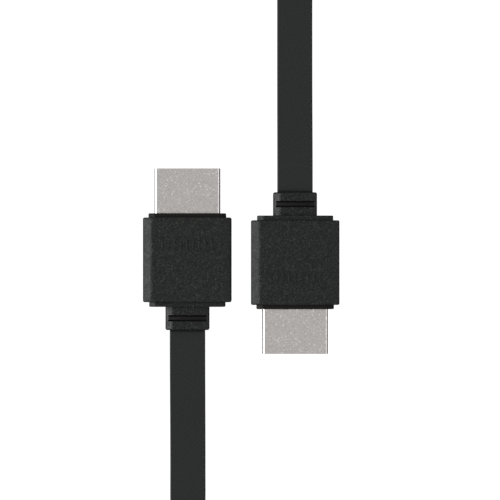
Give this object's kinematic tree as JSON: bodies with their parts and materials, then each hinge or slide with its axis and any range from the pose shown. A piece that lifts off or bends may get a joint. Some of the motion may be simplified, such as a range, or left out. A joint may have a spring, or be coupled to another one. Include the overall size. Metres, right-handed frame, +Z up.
{
  "type": "hdmi cable",
  "caption": "Flat black video lead with a straight type A plug on each end, its spare length wound in a tied coil.",
  "frame": {"origin": "on the floor, midway between the two plugs", "axes": "+Z up; +Y the way plug A's mouth points, along both plugs; +X from plug A to plug B"},
  "size_m": [0.0804, 0.2203, 0.0178],
  "materials": {
    "moulding": "fine spark-eroded grain",
    "plug_metal": "satin nickel plate",
    "insulator": "smooth",
    "contact_gold": "gold plate",
    "cord_jacket": "smooth satin jacket",
    "strap_fabric": "woven hook-and-loop tape"
  },
  "bodies": {
    "root": {"plug_a_body": "moulding", "plug_a_shell": "plug_metal", "plug_a_insulator": "insulator", "plug_a_contact_01": "contact_gold", "plug_a_contact_02": "contact_gold", "plug_a_contact_03": "contact_gold", "plug_a_contact_04": "contact_gold", "plug_a_contact_05": "contact_gold", "plug_a_contact_06": "contact_gold", "plug_a_contact_07": "contact_gold", "plug_a_contact_08": "contact_gold", "plug_a_contact_09": "contact_gold", "plug_a_contact_10": "contact_gold", "plug_a_contact_11": "contact_gold", "plug_a_contact_12": "contact_gold", "plug_a_contact_13": "contact_gold", "plug_a_contact_14": "contact_gold", "plug_a_contact_15": "contact_gold", "plug_a_contact_16": "contact_gold", "plug_a_contact_17": "contact_gold", "plug_a_contact_18": "contact_gold", "plug_a_contact_19": "contact_gold", "plug_b_body": "moulding", "plug_b_shell": "plug_metal", "plug_b_insulator": "insulator", "plug_b_contact_01": "contact_gold", "plug_b_contact_02": "contact_gold", "plug_b_contact_03": "contact_gold", "plug_b_contact_04": "contact_gold", "plug_b_contact_05": "contact_gold", "plug_b_contact_06": "contact_gold", "plug_b_contact_07": "contact_gold", "plug_b_contact_08": "contact_gold", "plug_b_contact_09": "contact_gold", "plug_b_contact_10": "contact_gold", "plug_b_contact_11": "contact_gold", "plug_b_contact_12": "contact_gold", "plug_b_contact_13": "contact_gold", "plug_b_contact_14": "contact_gold", "plug_b_contact_15": "contact_gold", "plug_b_contact_16": "contact_gold", "plug_b_contact_17": "contact_gold", "plug_b_contact_18": "contact_gold", "plug_b_contact_19": "contact_gold", "cord_from_plug_a": "cord_jacket", "cord_to_plug_b": "cord_jacket", "cord_coil": "cord_jacket", "coil_strap": "strap_fabric"}
  },
  "joints": []
}
